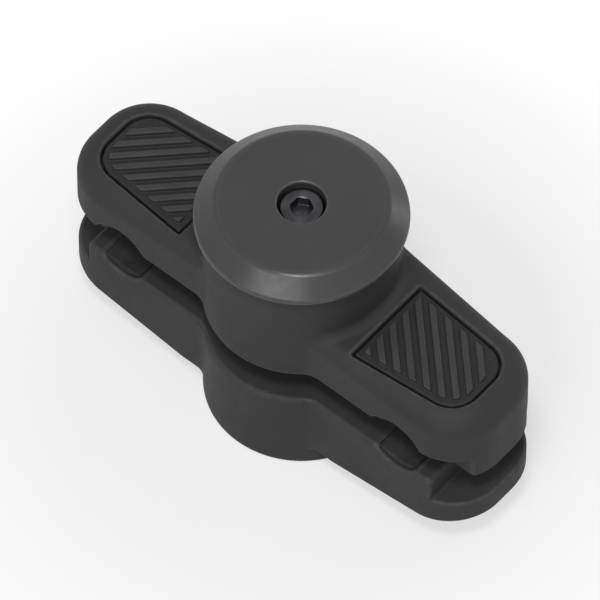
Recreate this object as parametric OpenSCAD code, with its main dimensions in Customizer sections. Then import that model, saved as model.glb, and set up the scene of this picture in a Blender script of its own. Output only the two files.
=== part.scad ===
// Clamp that grips the two rails of a bicycle saddle, closed by a round hand knob.
// The origin lies midway between the rails, at the height of their centre lines.
// +X points to the saddle's nose, +Y to the rider's left and +Z up to the saddle.

/* [Rails] */
// Diameter of each saddle rail
rail_d = 7; // [6.8:0.1:7.4]
// Distance between the centre lines of the rails
rail_spacing = 44; // [42:0.5:46]

/* [Clamp arms] */
// Length of the clamp across the rails
clamp_length = 65.5; // [63:0.5:68]
// From the knob's axis to the straight rear wall
rear_reach = 8.6; // [8.2:0.1:9.4]
// From the knob's axis to the front edge beside the hub
front_reach = 10.1; // [9.6:0.1:10.6]
// From the knob's axis to the front edge at the ends of the arms
front_tip_reach = 8.5; // [8:0.1:9]
// Plan radius of the rear corners
rear_corner_r = 7.2; // [6.4:0.1:7.6]
// Plan radius of the front corners
front_corner_r = 7.2; // [6.4:0.1:7.6]
// Gap that is left between the two halves on the rails
jaw_gap = 5.6; // [5:0.1:6]

/* [Upper half] */
// Height of the inner underside above the rails' centre lines
upper_underside = 2.4; // [2:0.1:2.8]
// Thickness of the upper arms
upper_arm_t = 7.6; // [7:0.1:8.4]
// Radius along the top edges of the arms
top_edge_r = 1.7; // [1:0.1:2.2]
// Radius of the shoulder that rolls over the end of each arm
end_shoulder_r = 3.4; // [2.4:0.1:4]
// How far the outer lip reaches below the inner underside
hook_drop = 4; // [3.5:0.1:4.4]
// Width of the outer lip along the rail
hook_w = 10.4; // [9:0.1:11]
// Height of the lip's open corners above its lower edge
hook_shoulder = 3.6; // [2.8:0.1:4.2]
// Radius of the neck that carries the knob
neck_r = 12.2; // [11.8:0.1:12.6]
// Height of the neck above the arms
neck_h = 8.5; // [7:0.1:10]
// Radius of the hollow fillet from the neck to the arms
neck_fillet_r = 1.3; // [0.8:0.1:1.4]
// Wall between the spring's pocket and the washer's seat
web_t = 2.8; // [2:0.1:3.6]
// Depth of the spring's pocket
spring_pocket_depth = 6.4; // [5:0.1:7]
// Radius of the spring's pocket
spring_pocket_r = 5.6; // [5.3:0.1:5.8]

/* [Lower half] */
// Depth of the outer ledge below the inner top face
ledge_drop = 4; // [3.5:0.1:4.4]
// Width of the wall outside the rail's trough
trough_wall = 1.1; // [0.8:0.1:1.6]
// Thickness of the ledge at the end of the arm
ledge_t = 3.6; // [3:0.1:4.2]
// Extra depth of the arms beside the hub
arm_root_drop = 2.8; // [1:0.1:3.4]
// Radius of the lower hub
hub_r = 12.2; // [11.8:0.1:12.6]
// Height of the lower hub
hub_h = 13.6; // [12.8:0.1:14.4]
// Chamfer round the foot of the hub
hub_chamfer = 0.8; // [0.4:0.1:1.2]
// Thickness of the wall between the nut and the upper face
nut_web_t = 4; // [3.5:0.1:4.5]

/* [Grip pads] */
// Width of each hatched pad at its inner edge
pad_w = 12.5; // [11.5:0.1:12.8]
// Width to which the pad narrows at its outer edge
pad_end_w = 9.8; // [9:0.1:10.4]
// How far the pad lies behind the knob's axis
pad_shift = 0.35; // [0:0.05:0.5]
// Distance from the knob's axis to the inner edge of the pad
pad_inner = 14; // [13.8:0.1:15]
// Distance from the end of the arm to the outer edge of the pad
pad_end_margin = 3.6; // [3.4:0.1:5]
// Plan radius of the pad's outer corners
pad_corner_r = 3.6; // [2:0.1:4]
// Depth of the recess that holds the pad
pad_depth = 1.6; // [1.2:0.1:2]
// Thickness of the pad's plate
pad_plate_t = 1.35; // [1:0.05:1.5]
// Pitch of the ribs
rib_pitch = 1.7; // [1.5:0.1:2.2]
// Width of a rib
rib_w = 0.9; // [0.7:0.05:1.1]
// Height of the ribs above the plate
rib_h = 0.5; // [0.3:0.05:0.7]
// Plain border round the ribs
rib_border = 0.75; // [0.5:0.05:1.1]
// Slant of the ribs to the clamp's length
rib_angle = 45; // [35:1:55]

/* [Liners] */
// Thickness of the rubber liners
liner_t = 0.9; // [0.7:0.05:1.1]
// Distance of the liners' ends inside the arms' walls
liner_inset = 0.5; // [0.3:0.1:1]

/* [Knob] */
// Outer diameter of the knob
knob_d = 26.4; // [25:0.1:28]
// Height of the bevel round the top
bevel_h = 2.3; // [1.6:0.1:2.6]
// Width of the bevel round the top
bevel_w = 2.6; // [1.8:0.1:3]
// Height of the upright rim below the bevel
rim_h = 0.6; // [0.4:0.1:1]
// Depth of the relief under the rim
rim_relief_h = 0.4; // [0.2:0.05:0.6]
// Width of the rim's lower face outside the relief
rim_lip_w = 1.2; // [0.8:0.1:1.6]
// Radius of the boss below the knob
boss_r = 7.4; // [7:0.1:7.8]
// Diameter of the recess for the screw
screw_recess_d = 6; // [5.9:0.1:6.4]
// Thickness of the floor under the screw
knob_floor_t = 1.6; // [1.2:0.1:1.8]

/* [Spindle] */
// Thread diameter of the spindle
spindle_d = 6; // [5.5:0.1:6]
// Width across the flats of the spindle's head and of the nut
hex_af = 10; // [9.8:0.1:10.4]
// Height of the spindle's head
head_h = 4; // [3.4:0.1:4.4]
// Height of the nut
nut_h = 5; // [4.4:0.1:5.2]
// Radius of the thrust washer
washer_r = 7.2; // [6.6:0.1:7.4]
// Thickness of the thrust washer
washer_t = 1; // [0.8:0.1:1.4]
// Thickness of the washer above the nut
nut_washer_t = 0.8; // [0.6:0.1:1]
// Thickness of the cover below the nut
cover_t = 1.6; // [1.2:0.1:2]
// Width of the cover's rim outside the nut's corners
cover_rim = 1.2; // [1:0.1:1.6]

/* [Small parts] */
// Diameter of the screw's head
screw_head_d = 5.5; // [5:0.1:5.6]
// Height of the screw's head
screw_head_h = 2.2; // [1.8:0.1:2.4]
// Thread diameter of the screw
screw_d = 3; // [2.5:0.1:3]
// Length of the screw below its head
screw_len = 6; // [5.5:0.1:6.5]
// Width across the flats of the screw's socket
socket_af = 2.5; // [2:0.1:2.6]
// Depth of the screw's socket
socket_depth = 1.4; // [1:0.1:1.5]
// Thickness of the washer under the screw's head
screw_washer_t = 0.5; // [0.4:0.05:0.7]
// Diameter of the seal ring's cord
seal_d = 1; // [0.8:0.05:1.2]
// Diameter of the guide pins
pin_d = 3; // [2.5:0.1:3]
// Distance from the spindle's axis to each guide pin
pin_offset = 8.6; // [8.4:0.1:8.8]
// Depth of the guide pins in the lower half
pin_root = 8.8; // [7:0.1:9.5]
// Length of the guide pins above the lower half
pin_reach = 13.4; // [12:0.1:13.6]
// Wire diameter of the spring
wire_d = 0.9; // [0.7:0.05:1]
// Number of turns of the spring
spring_turns = 5; // [4:1:6]

/* [Hidden] */

left = 1;
right = -1;
sides = [left, right];
round_fn = 96;
corner_fn = 48;
wire_fn = 10;
spring_steps = 16;
dead_turns = 0.7;
arc_steps = 10;
cut = 1;

// Clearances between pieces that fit together
slide_clearance = 0.1;
thread_clearance = 0.05;
seat_clearance = 0.05;
pad_clearance = 0.3;
hex_clearance = 0.1;

rail_r = rail_d / 2;
rail_y = rail_spacing / 2;
seat_r = rail_r + liner_t;
half_length = clamp_length / 2;
pad_reach = half_length - pad_end_margin;

// Heights of the two halves
upper_top = upper_underside + upper_arm_t;
neck_top = upper_top + neck_h;
hook_bottom = upper_underside - hook_drop;
lower_top = upper_underside - jaw_gap;
ledge_top = lower_top - ledge_drop;
ledge_bottom = ledge_top - ledge_t;
hub_bottom = lower_top - hub_h;

// Heights of the pieces on the axis
pocket_top = upper_underside + spring_pocket_depth;
washer_seat = pocket_top + web_t;
head_bottom = washer_seat + washer_t;
head_top = head_bottom + head_h;
rim_clearance = 0.4;
knob_rim_bottom = neck_top + rim_clearance;
knob_rim_top = knob_rim_bottom + rim_h;
knob_top = knob_rim_top + bevel_h;
knob_r = knob_d / 2;
nut_top = lower_top - nut_web_t - nut_washer_t;
nut_bottom = nut_top - nut_h;
cover_clearance = 0.4;
spindle_bottom = hub_bottom + cover_t + cover_clearance;
screw_head_bottom = head_top + knob_floor_t + screw_washer_t;

spindle_r = spindle_d / 2;
spindle_hole_r = spindle_r + slide_clearance;
nut_pocket_af = hex_af + 2 * hex_clearance;
cover_r = nut_pocket_af / sqrt(3) + cover_rim;
counterbore_r = boss_r + seal_d + seat_clearance;
spring_r = (spindle_hole_r + wire_d + spring_pocket_r) / 2 - wire_d / 4;
pin_r = pin_d / 2;
pin_hole_r = pin_r + slide_clearance / 2;
pin_top = lower_top + pin_reach;
pin_hole_top = pin_top + cover_clearance;
liner_rear = -rear_reach + liner_inset;
liner_front = front_tip_reach - liner_inset;

// Points of a round quarter from one angle to another
function arc(cx, cy, r, from, to) =
    [for (i = [0:arc_steps]) let (a = from + (to - from) * i / arc_steps)
        [cx + r * cos(a), cy + r * sin(a)]];

// Outline across a flat-sided hexagon of a given width
module hexagon(width, height) {
    cylinder(r = width / sqrt(3), h = height, $fn = 6);
}

// Upright corner post of an arm, with a rounded upper edge
module corner_post(x, y, r, low, high, edge_r) {
    translate([x, y, 0])
        rotate_extrude($fn = corner_fn)
            polygon(concat([[0, low], [r, low]], arc(r - edge_r, high - edge_r, edge_r, 0, 90), [[0, high]]));
}

// Posts at the ends of both arms and at the front beside the hub, which a hull joins to the arms' plan
module arm_posts(low, high, edge_r, end_edge_r) {
    for (side = sides) {
        corner_post(-rear_reach + rear_corner_r, side * (half_length - rear_corner_r),
            rear_corner_r, low, high, end_edge_r);
        corner_post(front_tip_reach - front_corner_r, side * (half_length - front_corner_r),
            front_corner_r, low, high, end_edge_r);
        corner_post(front_reach - front_corner_r, side * neck_r / 2, front_corner_r, low, high, edge_r);
    }
}

// Bar of the upper arms, whose edge radius grows towards the ends
module upper_bar(low, high) {
    hull() {
        arm_posts(low, high, top_edge_r, end_shoulder_r);
        for (side = sides)
            corner_post(-rear_reach + rear_corner_r, side * rail_y / 2, rear_corner_r, low, high, top_edge_r);
    }
}

// Bar of the lower arms
module lower_bar(low, high) {
    hull()
        arm_posts(low, high, hub_chamfer, hub_chamfer);
}

// A profile in the plane across the rails, drawn through the whole width of the arms
module across_rails() {
    translate([-knob_d, 0, 0])
        rotate([90, 0, 90])
            linear_extrude(2 * knob_d)
                children();
}

// Room for the rail and its liner, along the arm
module rail_room(r) {
    for (side = sides)
        translate([-knob_d, side * rail_y, 0])
            rotate([0, 90, 0])
                cylinder(r = r, h = 2 * knob_d, $fn = round_fn);
}

// Side profile of one upper arm, with the outer lip
module upper_arm_profile() {
    polygon([[0, upper_underside], [rail_y, upper_underside], [rail_y, hook_bottom],
        [half_length, hook_bottom], [half_length, upper_top], [0, upper_top]]);
}

// Side profile of one lower arm, with the trough wall and the outer ledge
module lower_arm_profile() {
    ledge_start = rail_y + seat_r + trough_wall;
    polygon([[0, lower_top], [ledge_start, lower_top], [ledge_start, ledge_top],
        [half_length, ledge_top], [half_length, ledge_bottom],
        [hub_r, ledge_bottom - arm_root_drop], [0, ledge_bottom - arm_root_drop]]);
}

// Plan of one hatched pad, grown by a margin
module pad_plan(margin) {
    lean = (pad_w - pad_end_w) / 2 / (pad_reach - pad_inner);
    root_half_w = pad_w / 2 + lean * pad_inner - pad_corner_r;
    end_y = pad_reach - pad_corner_r;
    end_half_w = root_half_w - lean * end_y;
    intersection() {
        translate([-pad_shift, 0])
            offset(r = pad_corner_r + margin, $fn = corner_fn)
                polygon([[-root_half_w, 0], [root_half_w, 0], [end_half_w, end_y], [-end_half_w, end_y]]);
        translate([-knob_d, pad_inner - margin])
            square([2 * knob_d, half_length]);
    }
}

// Slanted ribs that fill the pad inside its border
module rib_field() {
    centre_y = (pad_inner + pad_reach) / 2;
    count = ceil(pad_reach / rib_pitch);
    intersection() {
        pad_plan(-rib_border);
        translate([0, centre_y])
            rotate(-rib_angle)
                for (i = [-count:count])
                    translate([-pad_reach, i * rib_pitch - rib_w / 2])
                        square([2 * pad_reach, rib_w]);
    }
}

// Hatched rubber pad on one arm
module grip_pad(side) {
    color("#2b2b2d")
        mirror([0, side == right ? 1 : 0, 0])
            translate([0, 0, upper_top - pad_depth]) {
                linear_extrude(pad_plate_t)
                    pad_plan(0);
                translate([0, 0, pad_plate_t])
                    linear_extrude(rib_h)
                        rib_field();
            }
}

// Upper half of the clamp, with the neck that carries the knob
module upper_clamp() {
    color("#1c1c1e")
        difference() {
            union() {
                intersection() {
                    upper_bar(hook_bottom, upper_top);
                    across_rails()
                        for (side = sides)
                            mirror([side == right ? 1 : 0, 0])
                                upper_arm_profile();
                }
                neck();
            }
            upper_hub_room();
            rail_room(seat_r);
            hook_shoulders();
            for (side = sides)
                mirror([0, side == right ? 1 : 0, 0])
                    translate([0, 0, upper_top - pad_depth])
                        linear_extrude(pad_depth + cut)
                            pad_plan(pad_clearance);
        }
}

// Open corners on both sides of the outer lips
module hook_shoulders() {
    for (x = [hook_w / 2, -hook_w / 2 - knob_d])
        translate([x, -half_length - cut, hook_bottom - cut])
            cube([knob_d, clamp_length + 2 * cut, hook_shoulder + cut]);
}

// Round neck with a hollow fillet down to the arms
module neck() {
    edge_r = 0.5;
    rotate_extrude($fn = round_fn)
        polygon(concat([[0, upper_underside], [neck_r, upper_underside]],
            arc(neck_r - edge_r, neck_top - edge_r, edge_r, 0, 90), [[0, neck_top]]));
    intersection() {
        rotate_extrude($fn = round_fn)
            polygon(concat([[0, upper_underside], [neck_r + neck_fillet_r, upper_underside]],
                arc(neck_r + neck_fillet_r, upper_top + neck_fillet_r, neck_fillet_r, 270, 180),
                [[0, upper_top + neck_fillet_r]]));
        upper_bar(upper_underside, neck_top);
    }
}

// Rooms for the washer, the spindle, the spring and the guide pins
module upper_hub_room() {
    translate([0, 0, washer_seat])
        cylinder(r = counterbore_r, h = neck_top - washer_seat + cut, $fn = round_fn);
    translate([0, 0, upper_underside - cut])
        cylinder(r = spindle_hole_r, h = washer_seat - upper_underside + 2 * cut, $fn = round_fn);
    translate([0, 0, upper_underside - cut])
        cylinder(r = spring_pocket_r, h = spring_pocket_depth + cut, $fn = round_fn);
    for (side = sides)
        translate([0, side * pin_offset, upper_underside - cut])
            cylinder(r = pin_hole_r, h = pin_hole_top - upper_underside + cut, $fn = corner_fn);
}

// Lower half of the clamp, with the hub that holds the nut
module lower_clamp() {
    color("#1c1c1e")
        difference() {
            union() {
                intersection() {
                    lower_bar(hub_bottom, lower_top);
                    across_rails()
                        for (side = sides)
                            mirror([side == right ? 1 : 0, 0])
                                lower_arm_profile();
                }
                rotate_extrude($fn = round_fn)
                    polygon([[0, hub_bottom], [hub_r - hub_chamfer, hub_bottom],
                        [hub_r, hub_bottom + hub_chamfer], [hub_r, lower_top], [0, lower_top]]);
            }
            lower_hub_room();
            rail_room(seat_r);
        }
}

// Rooms for the spindle, the nut, its cover and the guide pins
module lower_hub_room() {
    translate([0, 0, hub_bottom - cut])
        cylinder(r = spindle_hole_r, h = hub_h + 2 * cut, $fn = round_fn);
    translate([0, 0, hub_bottom - cut])
        rotate(30)
            hexagon(nut_pocket_af, nut_top + nut_washer_t - hub_bottom + cut);
    translate([0, 0, hub_bottom - cut])
        cylinder(r = cover_r + seat_clearance, h = cover_t + cut, $fn = round_fn);
    for (side = sides)
        translate([0, side * pin_offset, lower_top - pin_root])
            cylinder(r = pin_r, h = pin_root + cut, $fn = corner_fn);
}

// Round shell of a liner, before it is cut to its half
module liner_ring(side) {
    translate([liner_rear, side * rail_y, 0])
        rotate([0, 90, 0])
            difference() {
                cylinder(r = seat_r - seat_clearance, h = liner_front - liner_rear, $fn = round_fn);
                translate([0, 0, -cut])
                    cylinder(r = rail_r, h = liner_front - liner_rear + 2 * cut, $fn = round_fn);
            }
}

// Liner of the upper seat on one side
module upper_liner(side) {
    color("#38383a")
        difference() {
            intersection() {
                liner_ring(side);
                across_rails()
                    mirror([side == right ? 1 : 0, 0])
                        upper_arm_profile();
            }
            hook_shoulders();
        }
}

// Liner of the lower trough on one side
module lower_liner(side) {
    color("#38383a")
        intersection() {
            liner_ring(side);
            across_rails()
                mirror([side == right ? 1 : 0, 0])
                    lower_arm_profile();
        }
}

// Round knob with a bevelled top and a boss that takes the spindle's head
module knob() {
    color("#3c3c3e")
        difference() {
            rotate_extrude($fn = round_fn)
                polygon([[0, head_bottom + rim_clearance], [boss_r, head_bottom + rim_clearance],
                    [boss_r, knob_rim_bottom + rim_relief_h],
                    [knob_r - rim_lip_w, knob_rim_bottom + rim_relief_h],
                    [knob_r - rim_lip_w, knob_rim_bottom], [knob_r, knob_rim_bottom],
                    [knob_r, knob_rim_top], [knob_r - bevel_w, knob_top], [0, knob_top]]);
            translate([0, 0, head_bottom])
                hexagon(hex_af + 2 * hex_clearance, head_h);
            translate([0, 0, head_top + knob_floor_t])
                cylinder(r = screw_recess_d / 2, h = knob_top - head_top, $fn = round_fn);
            translate([0, 0, head_top - cut])
                cylinder(r = screw_d / 2 + slide_clearance, h = knob_floor_t + 2 * cut, $fn = round_fn);
        }
}

// Threaded spindle with a hexagonal head
module spindle() {
    color("silver")
        difference() {
            union() {
                translate([0, 0, spindle_bottom])
                    cylinder(r = spindle_r, h = head_bottom - spindle_bottom + cut, $fn = round_fn);
                translate([0, 0, head_bottom])
                    hexagon(hex_af, head_h);
            }
            translate([0, 0, screw_head_bottom - screw_len - cut])
                cylinder(r = screw_d / 2, h = screw_len + cut, $fn = round_fn);
        }
}

// Socket screw that holds the knob on the spindle
module knob_screw() {
    color("silver")
        difference() {
            union() {
                translate([0, 0, screw_head_bottom])
                    cylinder(d = screw_head_d, h = screw_head_h, $fn = round_fn);
                translate([0, 0, screw_head_bottom - screw_len])
                    cylinder(d = screw_d, h = screw_len + cut, $fn = round_fn);
            }
            translate([0, 0, screw_head_bottom + screw_head_h - socket_depth])
                hexagon(socket_af, socket_depth + cut);
        }
}

// Flat ring with a round hole
module washer(outer_r, inner_r, thickness) {
    difference() {
        cylinder(r = outer_r, h = thickness, $fn = round_fn);
        translate([0, 0, -cut])
            cylinder(r = inner_r, h = thickness + 2 * cut, $fn = round_fn);
    }
}

// Washer under the screw's head
module screw_washer() {
    color("silver")
        translate([0, 0, screw_head_bottom - screw_washer_t])
            washer(screw_head_d / 2, screw_d / 2 + slide_clearance, screw_washer_t);
}

// Slippery washer that the spindle's head turns on
module thrust_washer() {
    color("#b08d3e")
        translate([0, 0, washer_seat])
            washer(washer_r, spindle_hole_r, washer_t);
}

// Rubber ring between the knob's boss and the neck
module knob_seal() {
    color("#141414")
        translate([0, 0, (head_bottom + knob_rim_bottom) / 2])
            rotate_extrude($fn = round_fn)
                translate([boss_r + seal_d / 2, 0])
                    circle(d = seal_d, $fn = corner_fn);
}

// Hexagonal nut in the lower hub
module clamp_nut() {
    color("silver")
        translate([0, 0, nut_bottom])
            difference() {
                rotate(30)
                    hexagon(hex_af, nut_h);
                translate([0, 0, -cut])
                    cylinder(r = spindle_r + thread_clearance, h = nut_h + 2 * cut, $fn = round_fn);
            }
}

// Washer that spreads the nut's pull
module nut_washer() {
    color("silver")
        translate([0, 0, nut_top])
            washer(hex_af / 2, spindle_hole_r, nut_washer_t);
}

// Cover that closes the nut's pocket
module nut_cover() {
    color("#222224")
        translate([0, 0, hub_bottom])
            cylinder(r = cover_r, h = cover_t, $fn = round_fn);
}

// Steel pin that keeps the two halves in line
module guide_pin(side) {
    color("#2e2e30")
        translate([0, side * pin_offset, lower_top - pin_root])
            cylinder(r = pin_r, h = pin_root + pin_reach, $fn = corner_fn);
}

// Coil spring that parts the two halves
module separator_spring() {
    rise = pocket_top - lower_top - wire_d - seat_clearance;
    live_turns = spring_turns - 2 * dead_turns;
    steps = spring_turns * spring_steps;
    rings = [for (i = [0:steps])
        let (turn = i / spring_steps,
            share = min(max((turn - dead_turns) / live_turns, 0), 1),
            z = lower_top + wire_d / 2 + rise * share)
        [for (j = [0:wire_fn - 1])
            let (a = 360 * j / wire_fn, r = spring_r + wire_d / 2 * cos(a))
                [r * cos(360 * turn), r * sin(360 * turn), z + wire_d / 2 * sin(a)]]];
    points = [for (ring = rings) for (p = ring) p];
    last = steps * wire_fn;
    walls = [for (i = [0:steps - 1]) for (j = [0:wire_fn - 1])
        let (k = (j + 1) % wire_fn, a = i * wire_fn, b = a + wire_fn)
            [a + j, b + j, b + k, a + k]];
    start_cap = [[for (j = [0:wire_fn - 1]) j]];
    end_cap = [[for (j = [wire_fn - 1:-1:0]) last + j]];
    color("silver")
        polyhedron(points = points, faces = concat(walls, start_cap, end_cap), convexity = 10);
}

lower_clamp();
lower_liner(left);  // lower_left_liner
lower_liner(right);  // lower_right_liner
clamp_nut();
nut_washer();
nut_cover();
guide_pin(left);  // left_guide_pin
guide_pin(right);  // right_guide_pin
separator_spring();
upper_clamp();
grip_pad(left);  // left_grip_pad
grip_pad(right);  // right_grip_pad
upper_liner(left);  // upper_left_liner
upper_liner(right);  // upper_right_liner
thrust_washer();
knob();
knob_screw();
screw_washer();
spindle();
knob_seal();
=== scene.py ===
"""Looks of the saddle rail mount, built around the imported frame.

Shapes are signed distances in millimetres, meshed on a grid and moved onto the true surface.
"""

import math

import bpy
import numpy as np
from mathutils import Matrix, Vector


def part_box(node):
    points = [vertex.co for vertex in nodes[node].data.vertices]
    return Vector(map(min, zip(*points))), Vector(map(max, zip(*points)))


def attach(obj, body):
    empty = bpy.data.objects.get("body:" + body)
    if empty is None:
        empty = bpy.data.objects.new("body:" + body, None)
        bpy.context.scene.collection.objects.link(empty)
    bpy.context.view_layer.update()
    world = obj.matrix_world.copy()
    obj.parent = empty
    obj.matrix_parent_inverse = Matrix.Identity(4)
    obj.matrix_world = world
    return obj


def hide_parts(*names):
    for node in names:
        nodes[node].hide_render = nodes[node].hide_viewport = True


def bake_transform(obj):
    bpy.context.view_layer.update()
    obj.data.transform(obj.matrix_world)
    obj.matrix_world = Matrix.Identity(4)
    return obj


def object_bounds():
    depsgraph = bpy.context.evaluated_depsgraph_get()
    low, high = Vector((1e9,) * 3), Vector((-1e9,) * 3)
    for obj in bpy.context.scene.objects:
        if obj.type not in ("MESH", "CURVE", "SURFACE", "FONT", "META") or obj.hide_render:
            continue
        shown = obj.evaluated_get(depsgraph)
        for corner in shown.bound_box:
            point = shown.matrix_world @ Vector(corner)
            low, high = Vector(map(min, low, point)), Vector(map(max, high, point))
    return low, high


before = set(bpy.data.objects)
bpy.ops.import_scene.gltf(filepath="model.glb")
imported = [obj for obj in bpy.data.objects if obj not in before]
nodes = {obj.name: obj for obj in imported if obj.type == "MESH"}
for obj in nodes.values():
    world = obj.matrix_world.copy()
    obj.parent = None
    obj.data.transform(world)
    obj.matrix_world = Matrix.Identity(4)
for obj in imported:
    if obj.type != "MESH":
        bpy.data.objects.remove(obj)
cad_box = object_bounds()

MM = 0.001
FAR = 1e9
TINY = 1e-9

# Rails, liners and the plan of the arms, in millimetres as all sizes below
RAIL_Y = 22.0
RAIL_R = 3.5
SEAT_R = 4.4
LINER_R = 4.35
LINER_X = (-8.1, 8.0)
HALF_LENGTH = 32.75
CORNER_R = 7.2
CORNERS = ((-1.4, 25.55), (1.3, 25.55), (2.9, 6.1))

# Upper half
UPPER_UNDERSIDE = 2.4
UNDERSIDE_EDGE_R = 0.35
UPPER_TOP = 10.0
TOP_EDGE_R = 1.7
END_SHOULDER_R = 3.4
SHOULDER_Y = (8.0, 25.55)
HOOK_BOTTOM = -1.6
HOOK_SHOULDER_Z = 2.0
HOOK_HALF_W = 5.2
HOOK_EDGE_R = 0.5
HOOK_FILLET_R = 0.9
NECK_R = 12.2
NECK_TOP = 18.5
NECK_EDGE_R = 0.5
NECK_FILLET_R = 1.3
NECK_FILLET_LEAST_R = 0.7
NECK_FILLET_START = 0.5
NECK_FILLET_SPAN = 2.5
WASHER_SEAT = 11.6
COUNTERBORE_R = 8.45
SPINDLE_HOLE_R = 3.1
SPRING_POCKET_R = 5.6
SPRING_POCKET_TOP = 8.8

# Lower half
LOWER_TOP = -3.2
LOWER_EDGE_R = 0.7
LOWER_ROUND_R = 0.6
LEDGE_START = 27.5
LEDGE_TOP = -7.2
LEDGE_BOTTOM = -10.8
LEDGE_EDGE_R = 0.45
ARM_ROOT_BOTTOM = -13.6
HUB_R = 12.2
HUB_BOTTOM = -16.8

# Hexagons, nut, cover and pins
HEX_AF = 10.0
HEX_CLEARANCE = 0.2
NUT_TURN = 30
HEAD_TURN = 0
NUT_Z = (-13.0, -8.0)
NUT_POCKET_TOP = -7.2
NUT_DOME_R = 0.545 * HEX_AF
NUT_DOME_SLOPE = 1.7
COVER_R = 7.089
COVER_GAP = 0.05
COVER_TOP = -15.2
COVER_RIM_W = 1.3
COVER_DISH_DEPTH = 0.4
PIN_Y = 8.6
PIN_R = 1.5
PIN_Z = (-12.0, 10.2)
PIN_END_R = 0.5
PIN_HOLE_R = 1.55
PIN_HOLE_TOP = 10.6

# Hatched pads
PAD_W = 12.5
PAD_END_W = 9.8
PAD_SHIFT = 0.35
PAD_INNER = 14.0
PAD_REACH = 29.15
PAD_CORNER_R = 3.6
PAD_RECESS_Z = 8.4
PAD_RECESS_EDGE_R = 0.35
PAD_CLEARANCE = 0.3
PAD_PLATE_TOP = 9.75
RIB_TOP = 10.25
RIB_ROOT_DEPTH = 0.4
RIB_PITCH = 1.7
RIB_HALF_W = 0.45
RIB_BORDER = 0.75
RIB_LAST = 3
RIB_ANGLE = math.radians(45)
GROOVE_MARGIN = 0.05

# Knob and its screw
KNOB_R = 13.2
KNOB_RIM_Z = (18.9, 19.5)
KNOB_RELIEF_Z = 19.3
KNOB_RIM_INNER_R = 12.0
KNOB_TOP = 21.8
KNOB_TOP_EDGE_R = 0.35
BEVEL_W = 2.6
BOSS_R = 7.4
BOSS_BOTTOM = 13.0
BOSS_ROOT_DEPTH = 1
RECESS_R = 3.0
RECESS_FLOOR = 18.2
SCREW_HEAD_R = 2.75
SCREW_HEAD_Z = (18.7, 20.9)
SCREW_ROOT_DEPTH = 1
SCREW_R = 1.5
SCREW_CLEARANCE = 0.1
SCREW_BOTTOM = 12.7
SOCKET_AF = 2.5
SOCKET_FLOOR = 19.5
SOCKET_EDGE_R = 0.08
MOUTH_R = 0.577 * SOCKET_AF
MOUTH_EDGE_R = 0.06
MOUTH_SCALE = 0.7071

# Spindle and thread
SPINDLE_R = 3.0
SPINDLE_BOTTOM = -14.8
SPINDLE_END_R = 0.4
HEAD_Z = (12.6, 16.6)
HEAD_ROOT_DEPTH = 0.5
HEAD_DOME_R = 0.55 * HEX_AF
HEAD_DOME_SLOPE = 1.6
SCREW_HOLE_BOTTOM = 11.7
THREAD_PITCH = 1.0
THREAD_DEPTH = 0.5
THREAD_GAP = 0.05
THREAD_SCALE = 0.7
CREST_SLOPE = 1.3
CREST_SHIFT = 0.15

# Coil spring
WIRE_R = 0.45
WIRE_SIDES = 16
SPRING_R = 4.575
SPRING_TURNS = 5
SPRING_GAP = 0.05
DEAD_TURNS = 0.7
STEPS_PER_TURN = 48

# Edge radii that several pieces share
FINE_R = 0.1
THIN_R = 0.12
SLIM_R = 0.15
SOFT_R = 0.2
MILD_R = 0.25
ROUND_R = 0.3


# Distances
def blend_or(a, b, r):
    """Union of two distances, with a hollow fillet of radius r."""
    u, v = np.maximum(r - a, 0), np.maximum(r - b, 0)
    return np.maximum(np.minimum(a, b), r) - np.sqrt(u * u + v * v)


def blend_and(a, b, r):
    """Intersection of two distances, with an edge of radius r."""
    u, v = np.maximum(r + a, 0), np.maximum(r + b, 0)
    return np.minimum(np.maximum(a, b), -r) + np.sqrt(u * u + v * v)


def carve(a, b, r):
    """b taken out of a, with an edge of radius r."""
    return blend_and(a, -b, r)


def between(v, low, high):
    return np.maximum(low - v, v - high)


def hexagon(x, y, width, turn):
    """Hexagon of a width across its flats, with a corner at angle turn."""
    far = np.full_like(x, -FAR)
    for step in range(3):
        a = math.radians(turn + 30 + 60 * step)
        far = np.maximum(far, np.abs(x * math.cos(a) + y * math.sin(a)))
    return far - width / 2


def convex(x, y, ring):
    """Distance to a convex outline that runs anticlockwise."""
    near, side = np.full_like(x, FAR), np.full_like(x, -FAR)
    for (ax, ay), (bx, by) in zip(ring, ring[1:] + ring[:1]):
        ex, ey = bx - ax, by - ay
        t = np.clip(((x - ax) * ex + (y - ay) * ey) / (ex * ex + ey * ey), 0, 1)
        near = np.minimum(near, np.hypot(x - ax - t * ex, y - ay - t * ey))
        side = np.maximum(side, ((x - ax) * ey - (y - ay) * ex) / math.hypot(ex, ey))
    return np.where(side > 0, near, side)


def rail(y, z, r):
    return np.hypot(np.abs(y) - RAIL_Y, z) - r


def arm_plan(x, y):
    """Plan of the arms: an outline through the corner centres, grown by the corner radius."""
    ring = [(px, -py) for px, py in CORNERS] + [(px, py) for px, py in reversed(CORNERS)]
    return convex(x, y, ring) - CORNER_R


def pad_plan(x, y, margin):
    """Plan of one hatched pad, grown by a margin."""
    lean = (PAD_W - PAD_END_W) / 2 / (PAD_REACH - PAD_INNER)
    root = PAD_W / 2 + lean * PAD_INNER - PAD_CORNER_R
    end_y = PAD_REACH - PAD_CORNER_R
    end = root - lean * end_y
    ring = [(-root, 0), (root, 0), (end, end_y), (-end, end_y)]
    edge = convex(x + PAD_SHIFT, np.abs(y), ring) - PAD_CORNER_R - margin
    return blend_and(edge, PAD_INNER - margin - np.abs(y), ROUND_R)


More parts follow.
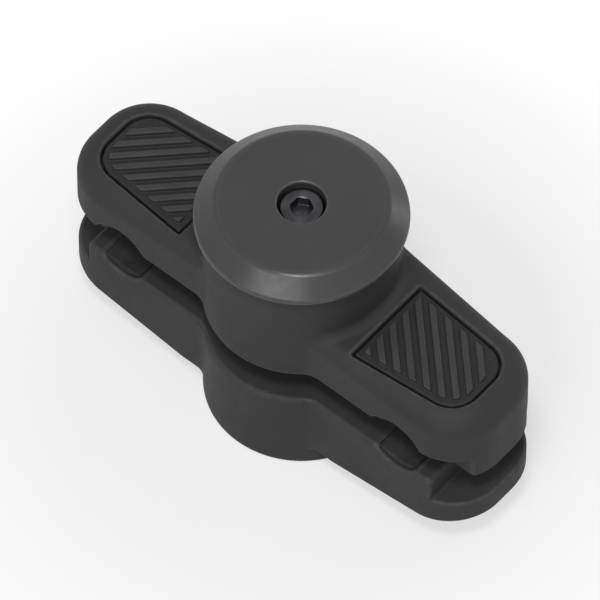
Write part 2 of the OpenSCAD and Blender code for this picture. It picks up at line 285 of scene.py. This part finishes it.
def upper_room(x, y, z):
    """Where the upper half may be: above its underside, and down to the lips outside the rails."""
    ay = np.abs(y)
    deck = UPPER_UNDERSIDE - z
    shoulder = np.maximum(RAIL_Y - ay, HOOK_SHOULDER_Z - z)
    outside = np.maximum(RAIL_Y - ay, np.abs(x) - HOOK_HALF_W)
    lip = blend_and(outside, HOOK_BOTTOM - z, HOOK_EDGE_R)
    return blend_or(np.minimum(deck, shoulder), lip, HOOK_FILLET_R)


def upper_outside(x, y, z):
    """Arms whose shoulders grow to the ends, joined to the neck by a fillet."""
    plan = arm_plan(x, y)
    share = np.clip((np.abs(y) - SHOULDER_Y[0]) / (SHOULDER_Y[1] - SHOULDER_Y[0]), 0, 1)
    edge = TOP_EDGE_R + (END_SHOULDER_R - TOP_EDGE_R) * share
    arms = blend_and(plan, z - UPPER_TOP, edge)
    neck = blend_and(np.hypot(x, y) - NECK_R, z - NECK_TOP, NECK_EDGE_R)
    inside = np.clip((NECK_FILLET_START - plan) / NECK_FILLET_SPAN, 0, 1)
    growth = (NECK_FILLET_R - NECK_FILLET_LEAST_R) * inside * inside * (3 - 2 * inside)
    return blend_or(arms, neck, NECK_FILLET_LEAST_R + growth)


def upper_shape(x, y, z):
    rad = np.hypot(x, y)
    body = blend_and(upper_outside(x, y, z), upper_room(x, y, z), UNDERSIDE_EDGE_R)
    body = carve(body, rail(y, z, SEAT_R), MILD_R)
    body = carve(body, np.maximum(rad - COUNTERBORE_R, WASHER_SEAT - z), ROUND_R)
    body = carve(body, rad - SPINDLE_HOLE_R, SOFT_R)
    body = carve(body, np.maximum(rad - SPRING_POCKET_R, z - SPRING_POCKET_TOP), ROUND_R)
    pin = np.hypot(x, np.abs(y) - PIN_Y)
    body = carve(body, np.maximum(pin - PIN_HOLE_R, z - PIN_HOLE_TOP), SLIM_R)
    recess = np.maximum(pad_plan(x, y, PAD_CLEARANCE), PAD_RECESS_Z - z)
    return carve(body, recess, PAD_RECESS_EDGE_R)


def lower_outside(x, y, z):
    """Arms with a sloping floor and a ledge at each end, joined to the round hub."""
    ay = np.abs(y)
    slope = (LEDGE_BOTTOM - ARM_ROOT_BOTTOM) / (HALF_LENGTH - HUB_R)
    floor = (ARM_ROOT_BOTTOM + slope * (ay - HUB_R) - z) / math.hypot(1, slope)
    arms = blend_and(arm_plan(x, y), np.maximum(floor, ARM_ROOT_BOTTOM - z), LOWER_ROUND_R)
    ledge = blend_and(LEDGE_START - ay, LEDGE_TOP - z, ROUND_R)
    arms = carve(arms, ledge, LEDGE_EDGE_R)
    hub = blend_and(np.hypot(x, y) - HUB_R, HUB_BOTTOM - z, LOWER_ROUND_R)
    return blend_and(blend_or(arms, hub, LOWER_ROUND_R), z - LOWER_TOP, LOWER_EDGE_R)


def lower_shape(x, y, z):
    rad = np.hypot(x, y)
    body = carve(lower_outside(x, y, z), rail(y, z, SEAT_R), MILD_R)
    body = carve(body, rad - SPINDLE_HOLE_R, SOFT_R)
    pocket = np.maximum(hexagon(x, y, HEX_AF + HEX_CLEARANCE, NUT_TURN), z - NUT_POCKET_TOP)
    body = carve(body, pocket, FINE_R)
    body = carve(body, np.maximum(rad - COVER_R - COVER_GAP, z - COVER_TOP), SLIM_R)
    pin = np.maximum(np.hypot(x, np.abs(y) - PIN_Y) - PIN_R, PIN_Z[0] - z)
    return carve(body, pin, FINE_R)


def knob_shape(x, y, z):
    rad = np.hypot(x, y)
    bevel_h = KNOB_TOP - KNOB_RIM_Z[1]
    slant = math.hypot(bevel_h, BEVEL_W)
    bevel = ((rad - KNOB_R) * bevel_h + (z - KNOB_RIM_Z[1]) * BEVEL_W) / slant
    cap = blend_and(blend_and(rad - KNOB_R, bevel, SOFT_R), z - KNOB_TOP, KNOB_TOP_EDGE_R)
    lip = np.maximum(KNOB_RIM_INNER_R - rad, KNOB_RIM_Z[0] - z)
    cap = blend_and(cap, np.minimum(KNOB_RELIEF_Z - z, lip), THIN_R)
    boss = blend_and(rad - BOSS_R, between(z, BOSS_BOTTOM, KNOB_RELIEF_Z + BOSS_ROOT_DEPTH), SOFT_R)
    body = blend_or(cap, boss, SOFT_R)
    pocket = np.maximum(hexagon(x, y, HEX_AF + HEX_CLEARANCE, HEAD_TURN), z - HEAD_Z[1])
    body = carve(body, pocket, FINE_R)
    body = carve(body, np.maximum(rad - RECESS_R, RECESS_FLOOR - z), ROUND_R)
    return carve(body, rad - SCREW_R - SCREW_CLEARANCE, FINE_R)


def pad_shape(x, y, z):
    plate = blend_and(pad_plan(x, y, 0), between(z, PAD_RECESS_Z, PAD_PLATE_TOP), MILD_R)
    centre = (PAD_INNER + PAD_REACH) / 2
    across = x * math.sin(RIB_ANGLE) + (np.abs(y) - centre) * math.cos(RIB_ANGLE)
    number = np.minimum(np.round(across / RIB_PITCH), RIB_LAST)
    rib = np.abs(across - RIB_PITCH * number) - RIB_HALF_W
    rib = blend_and(rib, pad_plan(x, y, -RIB_BORDER), SOFT_R)
    rib = blend_and(rib, between(z, PAD_PLATE_TOP - RIB_ROOT_DEPTH, RIB_TOP), SOFT_R)
    return blend_or(plate, rib, THIN_R)


def screw_shape(x, y, z):
    rad = np.hypot(x, y)
    head = blend_and(rad - SCREW_HEAD_R, between(z, *SCREW_HEAD_Z), ROUND_R)
    shank = np.maximum(rad - SCREW_R, between(z, SCREW_BOTTOM, SCREW_HEAD_Z[0] + SCREW_ROOT_DEPTH))
    body = np.minimum(head, shank)
    socket = np.maximum(hexagon(x, y, SOCKET_AF, HEAD_TURN), SOCKET_FLOOR - z)
    mouth = (rad - MOUTH_R - (z - SCREW_HEAD_Z[1])) * MOUTH_SCALE
    return carve(carve(body, socket, SOCKET_EDGE_R), mouth, MOUTH_EDGE_R)


def thread(x, y, z):
    """Distance to the spindle's right-hand thread."""
    turn = z / THREAD_PITCH - np.arctan2(y, x) / (2 * math.pi)
    wave = np.abs(turn - np.round(turn)) * 2
    crest = np.clip(wave * CREST_SLOPE - CREST_SHIFT, 0, 1)
    return (np.hypot(x, y) - SPINDLE_R + THREAD_DEPTH * (1 - crest)) * THREAD_SCALE


def spindle_shape(x, y, z):
    rad = np.hypot(x, y)
    length = between(z, SPINDLE_BOTTOM, HEAD_Z[0] + HEAD_ROOT_DEPTH)
    rod = blend_and(thread(x, y, z), length, SPINDLE_END_R)
    head = blend_and(hexagon(x, y, HEX_AF, HEAD_TURN), between(z, *HEAD_Z), SLIM_R)
    slant = math.hypot(1, HEAD_DOME_SLOPE)
    dome = (rad - HEAD_DOME_R + (z - HEAD_Z[1]) * HEAD_DOME_SLOPE) / slant
    body = np.minimum(rod, blend_and(head, dome, FINE_R))
    return carve(body, np.maximum(rad - SCREW_R, SCREW_HOLE_BOTTOM - z), FINE_R)


def nut_shape(x, y, z):
    rad = np.hypot(x, y)
    body = blend_and(hexagon(x, y, HEX_AF, NUT_TURN), between(z, *NUT_Z), SLIM_R)
    middle, half = (NUT_Z[0] + NUT_Z[1]) / 2, (NUT_Z[1] - NUT_Z[0]) / 2
    slant = math.hypot(1, NUT_DOME_SLOPE)
    dome = (rad - NUT_DOME_R + (np.abs(z - middle) - half) * NUT_DOME_SLOPE) / slant
    return carve(blend_and(body, dome, FINE_R), rad - SPINDLE_R - THREAD_GAP, ROUND_R)


def cover_shape(x, y, z):
    rad = np.hypot(x, y)
    disc = blend_and(rad - COVER_R, between(z, HUB_BOTTOM, COVER_TOP), MILD_R)
    dish = np.maximum(rad - COVER_R + COVER_RIM_W, z - HUB_BOTTOM - COVER_DISH_DEPTH)
    return carve(disc, dish, SOFT_R)


def pin_shape(x, y, z):
    pin = np.hypot(x, np.abs(y) - PIN_Y) - PIN_R
    return blend_and(pin, between(z, *PIN_Z), PIN_END_R)


def liner_tube(x, y, z):
    """Rubber tube round the place of each rail, before it is cut into halves."""
    tube = carve(rail(y, z, LINER_R), rail(y, z, RAIL_R), SOFT_R)
    return blend_and(tube, between(x, *LINER_X), MILD_R)


def upper_liner_shape(x, y, z):
    return blend_and(liner_tube(x, y, z), upper_room(x, y, z), THIN_R)


def lower_liner_shape(x, y, z):
    return blend_and(liner_tube(x, y, z), z - LOWER_TOP, THIN_R)


def side_of(shape, sign):
    """The half of a mirrored shape on one side."""
    return lambda x, y, z: np.maximum(shape(x, y, z), -sign * y)


# Meshing
GRID_MARGIN = 2
SLOPE_SPAN = 0.001
SLOPE_LEAST = 0.2
SETTLE_ROUNDS = 4
BEND_SPAN = 0.12


def slope_of(shape, points):
    """Gradient of a distance at each point."""
    parts = []
    for axis in range(3):
        shift = np.zeros(3)
        shift[axis] = SLOPE_SPAN
        high = shape(*(points + shift).T)
        low = shape(*(points - shift).T)
        parts.append((high - low) / (2 * SLOPE_SPAN))
    return np.stack(parts, 1)


def settle(shape, points, limit):
    """Moves points onto the surface of a distance, but none further than a limit."""
    start = points.copy()
    for _ in range(SETTLE_ROUNDS):
        slope = slope_of(shape, points)
        far = shape(*points.T)
        steepness = np.maximum((slope * slope).sum(1), SLOPE_LEAST)
        points = points - far[:, None] * slope / steepness[:, None]
    away = np.linalg.norm(points - start, axis=1) > limit
    points[away] = start[away]
    return points


def cell_points(value, cells, corners):
    """Mean place, in steps, of where the surface crosses the edges of each cell."""
    total = np.zeros((len(cells), 3))
    hits = np.zeros(len(cells))
    for c in corners:
        for axis in range(3):
            if c[axis]:
                continue
            d = list(c)
            d[axis] = 1
            a = value[tuple((cells + c).T)]
            b = value[tuple((cells + d).T)]
            crossed = (a < 0) != (b < 0)
            share = np.where(crossed, a / np.where(crossed, a - b, 1), 0)
            point = np.array(c) + share[:, None] * (np.array(d) - c)
            total += np.where(crossed[:, None], point, 0)
            hits += crossed
    return cells + total / hits[:, None]


def cell_quads(inside, number, axis):
    """Quads round the grid edges along one axis that the surface crosses."""
    u, v = (axis + 1) % 3, (axis + 2) % 3
    one = [slice(None)] * 3
    two = [slice(None)] * 3
    one[axis], two[axis] = slice(0, inside.shape[axis] - 1), slice(1, inside.shape[axis])
    first, second = inside[tuple(one)], inside[tuple(two)]
    edges = np.argwhere(first != second)
    edges = edges[(edges[:, u] > 0) & (edges[:, v] > 0)]
    du, dv = np.zeros(3, int), np.zeros(3, int)
    du[u], dv[v] = 1, 1
    ring = [number[tuple((edges - s).T)] for s in (du * 0, du, du + dv, dv)]
    quad = np.stack(ring, 1)
    flip = first[tuple(edges.T)]
    quad[~flip] = quad[~flip][:, ::-1]
    return quad[(quad >= 0).all(1)]


def grid_mesh(shape, low, high, step):
    """Points and quads of a distance's surface inside a box, on a grid of a step."""
    axes = []
    for i in range(3):
        end = high[i] + (GRID_MARGIN + 1) * step
        axes.append(np.arange(low[i] - GRID_MARGIN * step, end, step))
    value = shape(*np.meshgrid(*axes, indexing="ij"))
    inside = value < 0
    size = value.shape
    corners = [(i, j, k) for i in (0, 1) for j in (0, 1) for k in (0, 1)]

    def part(c):
        return inside[tuple(slice(c[i], size[i] - 1 + c[i]) for i in range(3))]

    count = sum(part(c).astype(np.int8) for c in corners)
    mixed = (count > 0) & (count < 8)
    cells = np.argwhere(mixed)
    number = np.full(mixed.shape, -1, np.int64)
    number[mixed] = np.arange(len(cells))
    origin = np.array([a[0] for a in axes])
    points = origin + cell_points(value, cells, corners) * step
    quads = [cell_quads(inside, number, axis) for axis in range(3)]
    return settle(shape, points, step), np.concatenate(quads)


def bend_of(shape, points):
    """Bend of a surface at each point in 1/mm, above 0 on outward edges."""
    total = -6 * shape(*points.T)
    for axis in range(3):
        shift = np.zeros(3)
        shift[axis] = BEND_SPAN
        total += shape(*(points + shift).T) + shape(*(points - shift).T)
    return total / BEND_SPAN ** 2


def mesh_object(name, points, faces):
    mesh = bpy.data.meshes.new(name)
    mesh.from_pydata([tuple(p) for p in points * MM], [], [tuple(int(i) for i in f) for f in faces])
    mesh.shade_smooth()
    made = bpy.data.objects.new(name, mesh)
    bpy.context.scene.collection.objects.link(made)
    return made


def dress(piece, slot, materials, cad):
    """Gives a piece the material of its slot, and hides the CAD node it stands for."""
    piece.data.materials.append(materials[slot])
    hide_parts(cad)


def formed(name, shape, cad, step, body, slot, materials):
    """A piece meshed from its distance, riding on a body and standing for a CAD node."""
    low, high = (np.array(corner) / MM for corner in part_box(cad))
    points, faces = grid_mesh(shape, low, high, step)
    slope = slope_of(shape, points)
    normals = slope / np.maximum(np.linalg.norm(slope, axis=1), TINY)[:, None]
    piece = mesh_object(name, points, faces)
    mesh = piece.data
    mesh.normals_split_custom_set_from_vertices([tuple(n) for n in normals])
    mesh.attributes.new("bend", "FLOAT", "POINT").data.foreach_set("value", bend_of(shape, points))
    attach(piece, body)
    dress(piece, slot, materials, cad)


# Materials
CLOUD = (0.35, 0.65)
SPREAD = (0.3, 0.7)
BODY_TONES = ((0.028, 0.028, 0.030), (0.034, 0.034, 0.036))
BODY_ROUGH = 0.62
BODY_SPECULAR = 0.18
COVER_TONES = ((0.03, 0.03, 0.032), (0.038, 0.038, 0.04))
COVER_ROUGH = 0.5
PLASTIC_ROUGH_SPAN = (-0.03, 0.04)
PLASTIC_EDGES = (0.9, 2.4)
RUBBED_GAIN = 1.5
RUBBED_LIFT = 0.006
KNOB_TONES = ((0.033, 0.033, 0.035), (0.040, 0.040, 0.042))
KNOB_RUBBED = (0.062, 0.062, 0.065)
KNOB_EDGES = (1.2, 3.0)
KNOB_ROUGH = (0.3, 0.36)
KNOB_SPECULAR = 0.35
PAD_TONES = ((0.036, 0.036, 0.037), (0.045, 0.045, 0.046))
# Painted shade: darker colour for the grooves between the pad's ribs
PAD_GROOVE_SHADE = (0.02, 0.02, 0.021)
PAD_ROUGH = 0.6
LINER_TONES = ((0.017, 0.017, 0.018), (0.026, 0.026, 0.027))
LINER_ROUGH = 0.68
RUBBER_ROUGH_SPAN = (-0.06, 0.08)
RUBBER_SPECULAR = 0.2
DUST_TONE = (0.07, 0.068, 0.064)
DUST_SPREAD = (0.55, 0.75)
DUST_MOST = 0.35
ZINC_TONES = ((0.56, 0.56, 0.57), (0.66, 0.66, 0.67))
ZINC_ROUGH = 0.32
ZINC_STRETCH = (1, 1, 6)
STEEL_TONES = ((0.045, 0.045, 0.048), (0.075, 0.075, 0.079))
STEEL_ROUGH = 0.34
STEEL_STRETCH = (1, 1, 5)
BRASS_TONES = ((0.66, 0.5, 0.24), (0.76, 0.61, 0.33))
BRASS_ROUGH = 0.34
BRASS_STRETCH = (4, 4, 1)
METAL_ROUGH_SPAN = (-0.06, 0.1)
BROKEN_SPREAD = (0.35, 0.6)
BROKEN_LEAST = 0.4


class Shading:
    """A Principled material and its node tree, with short ways to add nodes."""

    def __init__(self, name):
        self.material = bpy.data.materials.new(name)
        self.material.use_nodes = True
        self.tree = self.material.node_tree
        self.shader = self.tree.nodes["Principled BSDF"]
        self.place = self.add("ShaderNodeTexCoord").outputs["Object"]

    def add(self, kind, **values):
        node = self.tree.nodes.new(kind)
        for key, value in values.items():
            setattr(node, key, value)
        return node

    def link(self, a, b):
        self.tree.links.new(a, b)

    def feed(self, socket, source):
        """Links a source to one of the shader's inputs."""
        self.link(source, self.shader.inputs[socket])

    def stretched(self, scale):
        """Place on the piece, scaled along each axis."""
        mapping = self.add("ShaderNodeMapping")
        mapping.inputs["Scale"].default_value = scale
        self.link(self.place, mapping.inputs["Vector"])
        return mapping.outputs["Vector"]

    def noise(self, scale, detail, rough=0.5, stretch=None):
        node = self.add("ShaderNodeTexNoise")
        node.inputs["Scale"].default_value = scale
        node.inputs["Detail"].default_value = detail
        node.inputs["Roughness"].default_value = rough
        self.link(self.stretched(stretch) if stretch else self.place, node.inputs["Vector"])
        return node.outputs["Fac"]

    def ramp(self, source, low, high, a, b):
        """Maps source from low..high to a..b."""
        node = self.add("ShaderNodeMapRange")
        for key, value in (("From Min", low), ("From Max", high), ("To Min", a), ("To Max", b)):
            node.inputs[key].default_value = value
        self.link(source, node.inputs["Value"])
        return node.outputs["Result"]

    def mix(self, share, a, b):
        """Colour a where share is 0 and b where it is 1; either may be a socket."""
        node = self.add("ShaderNodeMix", data_type="RGBA")
        self.link(share, node.inputs["Factor"])
        for socket, value in ((node.inputs[6], a), (node.inputs[7], b)):
            if isinstance(value, bpy.types.NodeSocket):
                self.link(value, socket)
            else:
                socket.default_value = (*value, 1)
        return node.outputs[2]

    def product(self, a, b):
        node = self.add("ShaderNodeMath", operation="MULTIPLY")
        self.link(a, node.inputs[0])
        self.link(b, node.inputs[1])
        return node.outputs[0]

    def length(self, vector):
        node = self.add("ShaderNodeVectorMath", operation="LENGTH")
        self.link(vector, node.inputs[0])
        return node.outputs["Value"]

    def bump(self, source, strength, distance, before=None):
        node = self.add("ShaderNodeBump")
        node.inputs["Strength"].default_value = strength
        node.inputs["Distance"].default_value = distance
        self.link(source, node.inputs["Height"])
        if before:
            self.link(before, node.inputs["Normal"])
        return node.outputs["Normal"]

    def clouds(self, scale, detail, tones):
        """Soft clouds of a darker and a lighter tone."""
        return self.mix(self.ramp(self.noise(scale, detail), *CLOUD, 0, 1), *tones)

    def roughen(self, source, middle, span):
        """Varies the roughness about a middle value."""
        self.feed("Roughness", self.ramp(source, *SPREAD, middle + span[0], middle + span[1]))

    def edges(self, low, high):
        """1 on sharp outward edges and 0 elsewhere, by the bend stored with the mesh."""
        bend = self.add("ShaderNodeAttribute", attribute_name="bend").outputs["Fac"]
        broken = self.ramp(self.noise(scale=900, detail=3), *BROKEN_SPREAD, BROKEN_LEAST, 1)
        return self.product(self.ramp(bend, low, high, 0, 1), broken)

    def height(self, low, high):
        """0 to 1 between two heights of the piece, in millimetres."""
        parts = self.add("ShaderNodeSeparateXYZ")
        self.link(self.place, parts.inputs[0])
        return self.ramp(parts.outputs["Z"], low * MM, high * MM, 0, 1)


def plastic(name, tones, rough):
    """Moulded plastic with fine grain and with edges rubbed lighter."""
    s = Shading(name)
    s.shader.inputs["Specular IOR Level"].default_value = BODY_SPECULAR
    rubbed = tuple(c * RUBBED_GAIN + RUBBED_LIFT for c in tones[1])
    tone = s.clouds(scale=90, detail=3, tones=tones)
    s.feed("Base Color", s.mix(s.edges(*PLASTIC_EDGES), tone, rubbed))
    s.roughen(s.noise(scale=700, detail=2), rough, PLASTIC_ROUGH_SPAN)
    grain = s.noise(scale=5200, detail=2, rough=0.6)
    s.feed("Normal", s.bump(grain, strength=0.2, distance=0.00003))
    return s.material


def knob_plastic(name):
    """Smoother plastic with faint turned rings round the knob's axis."""
    s = Shading(name)
    s.shader.inputs["Specular IOR Level"].default_value = KNOB_SPECULAR
    tone = s.clouds(scale=110, detail=3, tones=KNOB_TONES)
    s.feed("Base Color", s.mix(s.edges(*KNOB_EDGES), tone, KNOB_RUBBED))
    s.feed("Roughness", s.ramp(s.noise(scale=900, detail=2), *SPREAD, *KNOB_ROUGH))
    rings = s.add("ShaderNodeTexNoise", noise_dimensions="1D")
    rings.inputs["Scale"].default_value = 4200
    rings.inputs["Detail"].default_value = 1
    s.link(s.length(s.stretched((1, 1, 0))), rings.inputs["W"])
    turned = s.bump(rings.outputs["Fac"], strength=0.05, distance=0.00002)
    grain = s.noise(scale=6500, detail=2, rough=0.6)
    s.feed("Normal", s.bump(grain, strength=0.06, distance=0.00002, before=turned))
    return s.material


def rubber(name, tones, rough, groove_shade=None):
    """Rubber with specks of dust, and with painted shade: darker colour in the grooves of a pad."""
    s = Shading(name)
    s.shader.inputs["Specular IOR Level"].default_value = RUBBER_SPECULAR
    tone = s.clouds(scale=260, detail=4, tones=tones)
    # Painted shade: below the rib tops the grooves get a darker colour
    if groove_shade:
        top = s.height(PAD_PLATE_TOP + GROOVE_MARGIN, RIB_TOP - GROOVE_MARGIN)
        tone = s.mix(top, groove_shade, tone)
    dust = s.ramp(s.noise(scale=2400, detail=4, rough=0.7), *DUST_SPREAD, 0, DUST_MOST)
    s.feed("Base Color", s.mix(dust, tone, DUST_TONE))
    s.roughen(s.noise(scale=1300, detail=3), rough, RUBBER_ROUGH_SPAN)
    grain = s.noise(scale=7000, detail=3, rough=0.65)
    s.feed("Normal", s.bump(grain, strength=0.18, distance=0.00003))
    return s.material


def metal(name, tones, rough, stretch):
    """Metal with fine lines, whose direction follows the stretch."""
    s = Shading(name)
    s.shader.inputs["Metallic"].default_value = 1
    s.feed("Base Color", s.clouds(scale=400, detail=3, tones=tones))
    lines = s.noise(scale=900, detail=2, rough=0.6, stretch=stretch)
    s.roughen(lines, rough, METAL_ROUGH_SPAN)
    s.feed("Normal", s.bump(lines, strength=0.12, distance=0.00002))
    return s.material


def make_materials():
    """One material for each slot of the record."""
    return {
        "moulded_black": plastic("moulded_black_mat", BODY_TONES, BODY_ROUGH),
        "cover_black": plastic("cover_black_mat", COVER_TONES, COVER_ROUGH),
        "knob_black": knob_plastic("knob_black_mat"),
        "pad_rubber": rubber("pad_rubber_mat", PAD_TONES, PAD_ROUGH, PAD_GROOVE_SHADE),
        "liner_rubber": rubber("liner_rubber_mat", LINER_TONES, LINER_ROUGH),
        "zinc_steel": metal("zinc_steel_mat", ZINC_TONES, ZINC_ROUGH, ZINC_STRETCH),
        "dark_steel": metal("dark_steel_mat", STEEL_TONES, STEEL_ROUGH, STEEL_STRETCH),
        "washer_brass": metal("washer_brass_mat", BRASS_TONES, BRASS_ROUGH, BRASS_STRETCH),
    }


# Pieces, each with its shape, CAD node, grid step in millimetres, body and material slot
SINGLE_PIECES = (
    ("upper_moulding", upper_shape, "upper_clamp", 0.27, "upper", "moulded_black"),
    ("lower_moulding", lower_shape, "lower_clamp", 0.28, "lower", "moulded_black"),
    ("knob_moulding", knob_shape, "knob", 0.175, "knob", "knob_black"),
    ("socket_screw", screw_shape, "knob_screw", 0.09, "knob", "dark_steel"),
    ("threaded_spindle", spindle_shape, "spindle", 0.16, "knob", "zinc_steel"),
    ("chamfered_nut", nut_shape, "clamp_nut", 0.2, "lower", "zinc_steel"),
    ("pocket_cover", cover_shape, "nut_cover", 0.2, "lower", "cover_black"),
)
PAIRED_PIECES = (
    ("{}_pad_rubber", pad_shape, "{}_grip_pad", 0.12, "upper", "pad_rubber"),
    ("{}_steel_pin", pin_shape, "{}_guide_pin", 0.18, "lower", "dark_steel"),
    ("upper_{}_rubber", upper_liner_shape, "upper_{}_liner", 0.2, "upper", "liner_rubber"),
    ("lower_{}_rubber", lower_liner_shape, "lower_{}_liner", 0.2, "lower", "liner_rubber"),
)

# CAD nodes that are shown as they are, each with its material slot
PLAIN_NODES = (
    ("nut_washer", "zinc_steel"),
    ("screw_washer", "zinc_steel"),
    ("thrust_washer", "washer_brass"),
    ("knob_seal", "liner_rubber"),
)


def coil_points(low, high):
    """Rings of points along a helix with close turns at both ends."""
    points = []
    for i in range(SPRING_TURNS * STEPS_PER_TURN + 1):
        turn = i / STEPS_PER_TURN
        share = min(max((turn - DEAD_TURNS) / (SPRING_TURNS - 2 * DEAD_TURNS), 0), 1)
        z = low + (high - low) * share
        a = 2 * math.pi * turn
        for j in range(WIRE_SIDES):
            b = 2 * math.pi * j / WIRE_SIDES
            r = SPRING_R + WIRE_R * math.cos(b)
            points.append((r * math.cos(a), r * math.sin(a), z + WIRE_R * math.sin(b)))
    return points


def coil_faces():
    """Faces between the rings of points, and one at each end of the wire."""
    faces = []
    count = SPRING_TURNS * STEPS_PER_TURN
    for i in range(count):
        for j in range(WIRE_SIDES):
            k = (j + 1) % WIRE_SIDES
            a, b = i * WIRE_SIDES, (i + 1) * WIRE_SIDES
            faces.append((a + j, b + j, b + k, a + k))
    faces.append(tuple(range(WIRE_SIDES)))
    faces.append(tuple(count * WIRE_SIDES + j for j in reversed(range(WIRE_SIDES))))
    return faces


def build_spring(materials):
    """Wound wire between the halves."""
    low, high = LOWER_TOP + WIRE_R, SPRING_POCKET_TOP - WIRE_R - SPRING_GAP
    spring = mesh_object("coil_spring", np.array(coil_points(low, high)), coil_faces())
    dress(spring, "dark_steel", materials, "separator_spring")
    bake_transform(spring)


def build_pieces(materials):
    for name, shape, cad, step, body, slot in SINGLE_PIECES:
        formed(name, shape, cad, step, body, slot, materials)
    for side, sign in (("left", 1), ("right", -1)):
        for name, shape, cad, step, body, slot in PAIRED_PIECES:
            half = side_of(shape, sign)
            formed(name.format(side), half, cad.format(side), step, body, slot, materials)
    build_spring(materials)
    for cad, slot in PLAIN_NODES:
        nodes[cad].data.materials.clear()
        nodes[cad].data.materials.append(materials[slot])


# Stage, in metres
FLOOR_REACH = 3.0
FLOOR_GAP = 0.00005
FLOOR_TONES = ((0.74, 0.74, 0.74), (0.76, 0.76, 0.76))
FLOOR_ROUGH = (0.85, 0.95)
FLOOR_SPECULAR = 0.1
WORLD_FILL = 0.36
WHITE_START = 0.034
WHITE_END = 0.06
WHITE_LEAST = 0.6

# Lamps, each with its direction from the object, distance, width and height, and watts
LAMPS = (
    ("key_light", (-0.725, -0.2, 0.64), 0.6, (0.42, 0.08), 1.2),
    ("side_light", (0.93, -0.33, 0.15), 0.6, (0.14, 0.04), 0.2),
    ("top_light", (-0.307, -0.215, 0.927), 0.7, (0.1, 0.1), 2.1),
)

# Camera
CAMERA_BACK = (-0.432, -0.366, 0.824)
CAMERA_UP = (0.6285, 0.533, 0.566)
CAMERA_TARGET = (-0.0003, 0.0, 0.0012)
CAMERA_DISTANCE = 1.5
CAMERA_SENSOR = 36
CAMERA_LENS = 735
CAMERA_CLIP = (0.05, 20)


def background_rays(tree):
    """1 for rays that show the background: seen, mirrored or let through."""
    path = tree.nodes.new("ShaderNodeLightPath")
    seen = path.outputs["Is Camera Ray"]
    for other in ("Is Glossy Ray", "Is Transmission Ray"):
        either = tree.nodes.new("ShaderNodeMath")
        either.operation = "MAXIMUM"
        tree.links.new(seen, either.inputs[0])
        tree.links.new(path.outputs[other], either.inputs[1])
        seen = either.outputs[0]
    return seen


def world_light():
    """Even light from all round, and white for what looks at the background."""
    world = bpy.data.worlds.new("studio_world")
    bpy.context.scene.world = world
    world.use_nodes = True
    tree = world.node_tree
    background = tree.nodes["Background"]
    background.inputs["Color"].default_value = (1, 1, 1, 1)
    level = tree.nodes.new("ShaderNodeMapRange")
    level.inputs["To Min"].default_value = WORLD_FILL
    level.inputs["To Max"].default_value = 1.0
    tree.links.new(background_rays(tree), level.inputs["Value"])
    tree.links.new(level.outputs["Result"], background.inputs["Strength"])


def floor_material():
    """Pale floor that keeps the shadow near the object and goes to white far from it."""
    s = Shading("floor_mat")
    grain = s.ramp(s.noise(scale=60, detail=3), *SPREAD, 0, 1)
    s.feed("Base Color", s.mix(grain, *FLOOR_TONES))
    s.feed("Roughness", s.ramp(s.noise(scale=300, detail=2), *SPREAD, *FLOOR_ROUGH))
    s.shader.inputs["Specular IOR Level"].default_value = FLOOR_SPECULAR
    white = s.add("ShaderNodeEmission")
    far = s.ramp(s.length(s.place), WHITE_START, WHITE_END, WHITE_LEAST, 1)
    both = s.add("ShaderNodeMixShader")
    s.link(s.product(far, background_rays(s.tree)), both.inputs["Fac"])
    s.link(s.shader.outputs["BSDF"], both.inputs[1])
    s.link(white.outputs["Emission"], both.inputs[2])
    s.link(both.outputs["Shader"], s.tree.nodes["Material Output"].inputs["Surface"])
    return s.material


def build_floor():
    z = cad_box[0].z - FLOOR_GAP
    r = FLOOR_REACH
    mesh = bpy.data.meshes.new("studio_floor")
    mesh.from_pydata([(-r, -r, z), (r, -r, z), (r, r, z), (-r, r, z)], [], [(0, 1, 2, 3)])
    floor = bpy.data.objects.new("studio_floor", mesh)
    bpy.context.scene.collection.objects.link(floor)
    mesh.materials.append(floor_material())


def area_light(name, direction, distance, size, power):
    """Soft lamp that looks at the object and isn't seen itself."""
    data = bpy.data.lights.new(name, "AREA")
    data.shape = "RECTANGLE"
    data.size, data.size_y = size
    data.energy = power
    lamp = bpy.data.objects.new(name, data)
    bpy.context.scene.collection.objects.link(lamp)
    back = Vector(direction).normalized()
    lamp.location = back * distance
    lamp.rotation_euler = back.to_track_quat("Z", "Y").to_euler()
    lamp.visible_camera = False


def build_camera():
    """Camera at the photograph's viewing angle, with a long lens."""
    back = Vector(CAMERA_BACK).normalized()
    right = Vector(CAMERA_UP).normalized().cross(back).normalized()
    up = back.cross(right)
    data = bpy.data.cameras.new("studio_camera")
    data.sensor_width = CAMERA_SENSOR
    data.lens = CAMERA_LENS
    data.clip_start, data.clip_end = CAMERA_CLIP
    camera = bpy.data.objects.new("studio_camera", data)
    bpy.context.scene.collection.objects.link(camera)
    turn = Matrix((right, up, back)).transposed().to_4x4()
    camera.matrix_world = Matrix.Translation(Vector(CAMERA_TARGET) + back * CAMERA_DISTANCE) @ turn
    bpy.context.scene.camera = camera


build_pieces(make_materials())
world_light()
build_floor()
for lamp_values in LAMPS:
    area_light(*lamp_values)
build_camera()
bpy.context.scene.view_settings.view_transform = "Standard"
